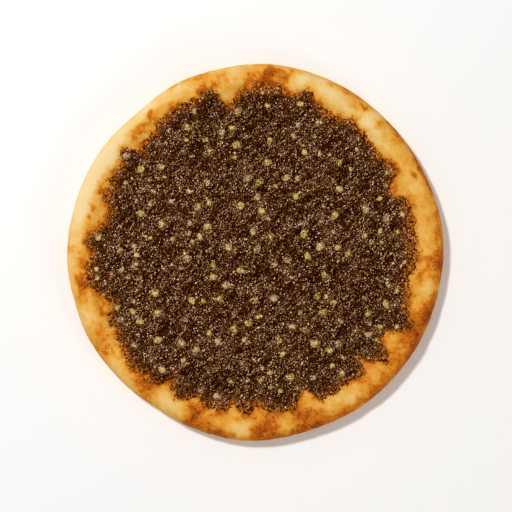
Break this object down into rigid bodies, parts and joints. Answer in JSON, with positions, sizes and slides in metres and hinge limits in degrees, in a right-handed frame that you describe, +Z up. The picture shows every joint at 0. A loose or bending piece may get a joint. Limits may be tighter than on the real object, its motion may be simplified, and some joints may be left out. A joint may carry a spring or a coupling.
{
  "type": "manakish",
  "caption": "Round flatbread with a raised, browned rim, spread with dark za'atar paste and dotted with sesame. Lies flat as food.",
  "frame": {"origin": "middle of the flat underside, where the bread rests", "axes": "+Z up out of the topping; +Y is the top of the picture and +X its right"},
  "size_m": [0.2002, 0.2004, 0.0148],
  "materials": {
    "crust": "baked dough, matt, mottled cream to orange brown",
    "herb_paste": "coarse oily herb paste, dark brown, with olive yellow sesame",
    "sesame": "toasted seed, olive yellow, faint oil sheen"
  },
  "bodies": {
    "root": {"bread": "crust", "zaatar": "herb_paste"}
  },
  "joints": []
}
